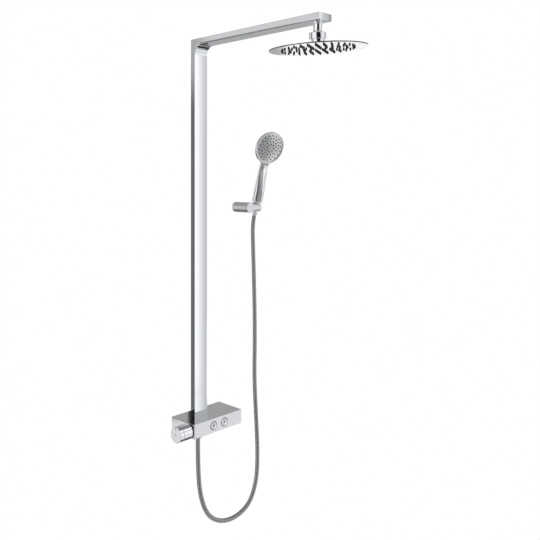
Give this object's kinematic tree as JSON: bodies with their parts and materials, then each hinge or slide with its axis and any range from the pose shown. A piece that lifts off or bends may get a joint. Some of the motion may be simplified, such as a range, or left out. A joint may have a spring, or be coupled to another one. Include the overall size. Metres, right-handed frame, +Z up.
{
  "type": "thermostatic shower column",
  "caption": "Wall-mounted thermostatic shower column: bar mixer with push buttons and a knob, rectangular riser and arm, round overhead shower, handset in a holder, ribbed hose.",
  "frame": {"origin": "on the wall plane, midway between the two inlets, at the middle of the mixer's height", "axes": "+Z up the column, +Y into the wall, +X to the right along the wall as one faces it"},
  "size_m": [0.3919, 0.599, 1.4609],
  "materials": {
    "chrome_casing": "polished",
    "chrome_fittings": "polished",
    "chrome_knob": "polished",
    "chrome_buttons": "polished",
    "chrome_disc": "polished",
    "chrome_handset": "polished",
    "grey_face": "satin",
    "nozzle_rubber": "matte",
    "hose_metal": "satin",
    "brass": "satin",
    "inner_plastic": "matte",
    "steel": "satin",
    "seal_rubber": "matte"
  },
  "bodies": {
    "column": {"mixer_shell": "chrome_casing", "knob_collar": "chrome_casing", "riser_tube": "chrome_casing", "corner_elbow": "chrome_casing", "arm_tube": "chrome_casing", "arm_end_cap": "chrome_casing", "overhead_button_bezel": "chrome_fittings", "handset_button_bezel": "chrome_fittings", "head_ball_nipple": "chrome_fittings", "hose_outlet_nipple": "chrome_fittings", "hose_lower_nut": "chrome_fittings", "hose_lower_ferrule": "chrome_fittings", "handset_holder": "chrome_fittings", "shower_hose": "hose_metal", "valve_body": "brass", "inlet_union_hot": "brass", "inlet_union_cold": "brass", "arm_outlet_bush": "brass", "rear_cover": "inner_plastic", "check_valves": "inner_plastic", "thermostat_cartridge": "inner_plastic", "thermostat_stop_ring": "inner_plastic", "overhead_button_valve": "inner_plastic", "handset_button_valve": "inner_plastic", "riser_foot": "inner_plastic", "rear_cover_screws": "steel", "inlet_filters": "steel", "overhead_button_spring": "steel", "handset_button_spring": "steel", "riser_wall_plate": "steel", "riser_grub_screw": "steel", "holder_wall_base": "steel", "holder_grub_screw": "steel", "riser_foot_seal": "seal_rubber", "elbow_seals": "seal_rubber", "hose_lower_washer": "seal_rubber"},
    "knob": {"thermostat_spindle": "brass", "temperature_knob": "chrome_knob", "knob_screw": "steel", "knob_end_cap": "chrome_knob"},
    "overhead_button": {"overhead_button_cap": "chrome_buttons"},
    "handset_button": {"handset_button_cap": "chrome_buttons"},
    "ball_seat": {"ball_seat": "inner_plastic"},
    "head": {"head_ball_nut": "chrome_fittings", "head_socket": "chrome_fittings", "head_top_shell": "chrome_disc", "head_nozzle_plate": "chrome_disc", "head_nozzles": "nozzle_rubber"},
    "hose_end": {"hose_upper_ferrule": "chrome_fittings"},
    "handset": {"handset_shell": "chrome_handset", "handset_rim": "chrome_handset", "handset_face_plate": "grey_face", "handset_nozzles": "nozzle_rubber", "handset_thread_insert": "chrome_handset", "hose_cone_nut": "chrome_handset", "hose_upper_washer": "seal_rubber"}
  },
  "joints": [
    {"name": "knob_turn", "type": "hinge", "parent": "column", "child": "knob", "pos_m": [-0.0925, -0.078, 0], "axis": [-1, 0, 0], "range_deg": [-120, 90]},
    {"name": "overhead_button_push", "type": "slide", "parent": "column", "child": "overhead_button", "axis": [0, 1, 0], "range_m": [0, 0.004], "stiffness_N_per_m": 1500, "deforming": ["overhead_button_spring"]},
    {"name": "handset_button_push", "type": "slide", "parent": "column", "child": "handset_button", "axis": [0, 1, 0], "range_m": [0, 0.004], "stiffness_N_per_m": 1500, "deforming": ["handset_button_spring"]},
    {"name": "head_swivel", "type": "hinge", "parent": "column", "child": "ball_seat", "pos_m": [0, -0.474, 1.07025], "axis": [0, 0, 1], "continuous": true},
    {"name": "head_tilt", "type": "hinge", "parent": "ball_seat", "child": "head", "pos_m": [0, -0.474, 1.07025], "axis": [0, 1, 0], "range_deg": [-5.3, 14.7]},
    {"name": "handset_lift", "type": "slide", "parent": "column", "child": "hose_end", "axis": [0, -0.2756, 0.9613], "range_m": [0, 0.08]},
    {"name": "handset_turn", "type": "hinge", "parent": "hose_end", "child": "handset", "pos_m": [0.203, -0.05, 0.622], "axis": [0, -0.2756, 0.9613], "continuous": true}
  ]
}
